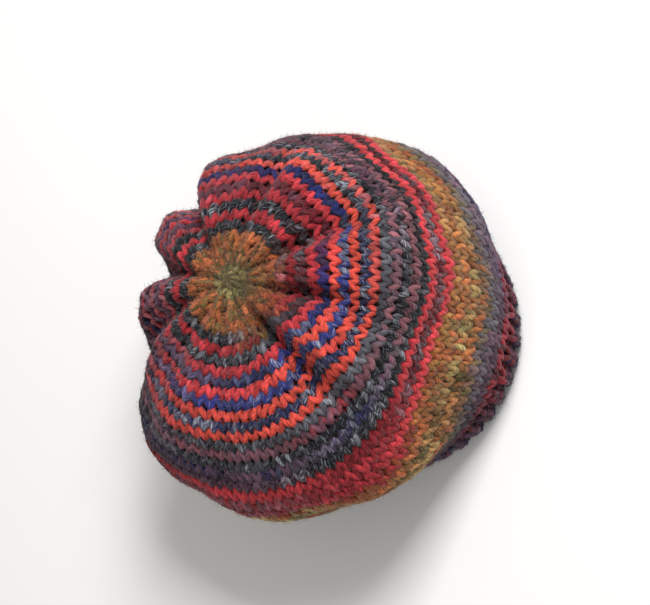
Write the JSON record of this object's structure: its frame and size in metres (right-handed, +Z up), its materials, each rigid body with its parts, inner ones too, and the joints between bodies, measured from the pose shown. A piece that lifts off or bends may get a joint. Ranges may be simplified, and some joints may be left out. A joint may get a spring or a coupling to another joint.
{
  "type": "wool beret",
  "caption": "Hand-knitted slouchy wool beret: a ribbed band round the head opening, a hollow body that widens from it, and a crown pleated into its drawn-together top.",
  "frame": {"origin": "below the middle of the whole beret's box, on the surface that the band stands on", "axes": "+X along the crown's widest way, +Y the way the crown slouches over the band, +Z up out of the top"},
  "size_m": [0.274, 0.245, 0.1639],
  "materials": {
    "crown_wool": "soft brushed wool yarn in red, blue, charcoal and mauve, changing from row to row",
    "body_wool": "soft brushed wool yarn in scarlet, ochre, olive and grey, changing from row to row",
    "band_wool": "soft brushed wool yarn in dark plum and navy, ribbed"
  },
  "bodies": {
    "root": {"crown": "crown_wool", "body": "body_wool", "band": "band_wool"}
  },
  "joints": []
}
